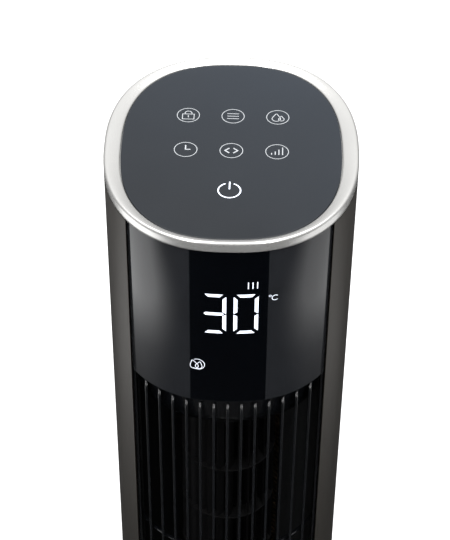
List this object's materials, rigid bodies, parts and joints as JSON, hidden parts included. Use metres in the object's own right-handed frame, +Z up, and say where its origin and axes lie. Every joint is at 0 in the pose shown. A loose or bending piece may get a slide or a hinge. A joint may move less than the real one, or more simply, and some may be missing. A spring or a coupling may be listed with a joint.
{
  "type": "tower fan",
  "caption": "Evaporative tower fan: finned outlet column with touch display head on a swinging round base, pull-out water tank and rear intake cover.",
  "frame": {"origin": "on the floor, at the middle of the round base", "axes": "+Z up; the outlet grille and the display face -Y; +X is on the right of someone who looks at the front"},
  "size_m": [0.349, 0.349, 1],
  "materials": {
    "shell": "satin bronze-grey lacquer on moulded plastic",
    "gloss": "high-gloss black acrylic",
    "grille": "semi-gloss black",
    "trim": "satin silver paint",
    "touch": "satin dark grey printed panel",
    "base": "fine-grained black",
    "inner": "dark moulded plastic",
    "white": "white moulded plastic",
    "nylon": "natural nylon",
    "rubber": "matt black",
    "steel": "turned and plain steel",
    "zinc": "zinc plate",
    "board": "green solder mask",
    "pad": "corrugated cellulose",
    "tank": "smoke-tinted clear plastic",
    "hose": "milky silicone tube"
  },
  "bodies": {
    "base": {"base_cover": "base", "base_plate": "base", "foot_1": "rubber", "foot_2": "rubber", "foot_3": "rubber", "foot_4": "rubber", "ballast_plate": "steel", "cord_gland": "rubber", "swivel_post": "steel", "post_screw_1": "zinc", "post_screw_2": "zinc", "post_screw_3": "zinc", "swing_gear": "nylon", "thrust_ring": "nylon", "swivel_nut": "zinc"},
    "column": {"turntable": "inner", "swivel_bush": "nylon", "swing_motor": "zinc", "right_side_shell": "shell", "left_side_shell": "shell", "front_fascia": "gloss", "lower_front_panel": "gloss", "column_floor": "inner", "bay_deck": "inner", "duct_floor": "inner", "duct_ceiling": "inner", "front_grille": "grille", "fan_motor": "zinc", "motor_bracket": "inner", "scroll_wall": "inner", "tongue_wall": "inner", "top_bearing": "nylon", "cooling_pad": "pad", "drip_trough": "white", "water_hose": "hose", "dock_socket": "white", "tank_shelf": "inner", "rear_cap": "shell", "handle_cup": "inner", "top_ring": "trim", "top_panel": "touch", "touch_board": "board", "head_frame": "inner", "display_light_box": "white", "display_board": "board", "control_board": "board"},
    "pinion": {"swing_pinion": "nylon"},
    "fan": {"impeller": "inner", "impeller_shaft": "steel"},
    "tank": {"water_tank": "tank", "tank_lid": "inner", "tank_door": "shell", "door_grip": "inner", "water_window": "tank", "pump_body": "inner", "pump_strainer": "inner", "pump_pipe": "hose"},
    "pump_rotor": {"pump_rotor": "white"},
    "rear_cover": {"rear_grille": "shell", "dust_filter": "inner"}
  },
  "joints": [
    {"name": "tower_swing", "type": "hinge", "parent": "base", "child": "column", "pos_m": [0, 0, 0.03], "axis": [0, 0, 1], "range_deg": [-40, 40]},
    {"name": "swing_pinion_spin", "type": "hinge", "parent": "column", "child": "pinion", "pos_m": [0, -0.052, 0.02], "axis": [0, 0, 1], "range_deg": [-134, 134]},
    {"name": "impeller_spin", "type": "hinge", "parent": "column", "child": "fan", "pos_m": [0, -0.035, 0.5], "axis": [0, 0, 1], "continuous": true},
    {"name": "tank_slide", "type": "slide", "parent": "column", "child": "tank", "axis": [0, 1, 0], "range_m": [0, 0.18]},
    {"name": "pump_rotor_spin", "type": "hinge", "parent": "tank", "child": "pump_rotor", "pos_m": [-0.05, 0.02, 0.065], "axis": [0, 0, 1], "continuous": true},
    {"name": "rear_cover_pull", "type": "slide", "parent": "column", "child": "rear_cover", "axis": [0, 1, 0], "range_m": [0, 0.12]}
  ],
  "couplings": [
    {"joint": "swing_pinion_spin", "follows": "tower_swing", "ratio": 3.3333}
  ]
}
